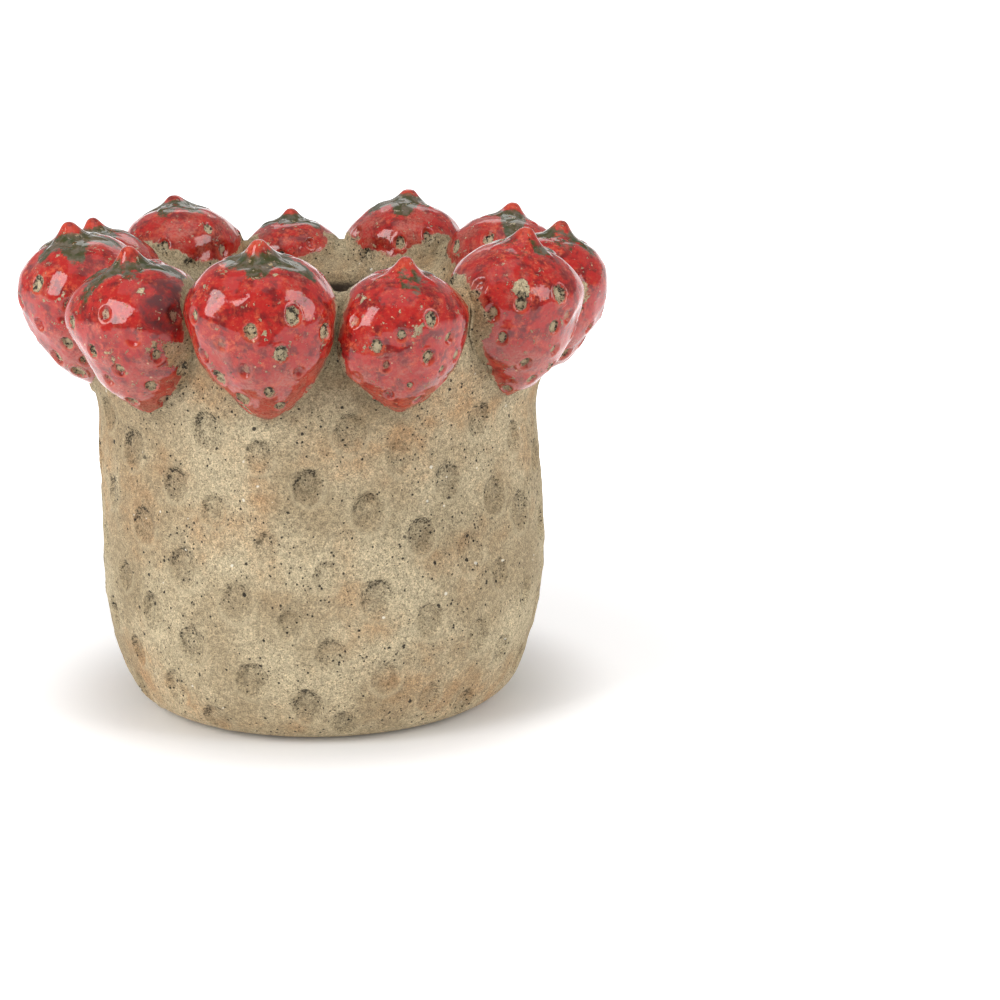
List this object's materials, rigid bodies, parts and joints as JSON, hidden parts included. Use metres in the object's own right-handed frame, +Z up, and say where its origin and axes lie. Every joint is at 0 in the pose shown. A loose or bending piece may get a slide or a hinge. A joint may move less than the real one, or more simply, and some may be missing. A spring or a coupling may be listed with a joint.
{
  "type": "flower pot",
  "caption": "Round fired-clay flower pot with pressed seed dimples, a drain hole and a ring of glazed strawberries seated astride its rolled rim.",
  "frame": {"origin": "centre of the drain hole at the underside of the foot, where the pot stands", "axes": "+Z up along the pot's axis; -Y is the side that faces the viewer in the picture"},
  "size_m": [0.2018, 0.2034, 0.1746],
  "materials": {
    "bisque_clay": "unglazed, matte",
    "joining_slip": "unglazed, matte",
    "berry_glaze": "glossy",
    "leaf_glaze": "semi-gloss"
  },
  "bodies": {
    "root": {"pot_body": "bisque_clay", "berry_01": "berry_glaze", "berry_02": "berry_glaze", "berry_03": "berry_glaze", "berry_04": "berry_glaze", "berry_05": "berry_glaze", "berry_06": "berry_glaze", "berry_07": "berry_glaze", "berry_08": "berry_glaze", "berry_09": "berry_glaze", "berry_10": "berry_glaze", "berry_11": "berry_glaze", "calyx_01": "leaf_glaze", "calyx_02": "leaf_glaze", "calyx_03": "leaf_glaze", "calyx_04": "leaf_glaze", "calyx_05": "leaf_glaze", "calyx_06": "leaf_glaze", "calyx_07": "leaf_glaze", "calyx_08": "leaf_glaze", "calyx_09": "leaf_glaze", "calyx_10": "leaf_glaze", "calyx_11": "leaf_glaze", "luting_slip": "joining_slip"}
  },
  "joints": []
}
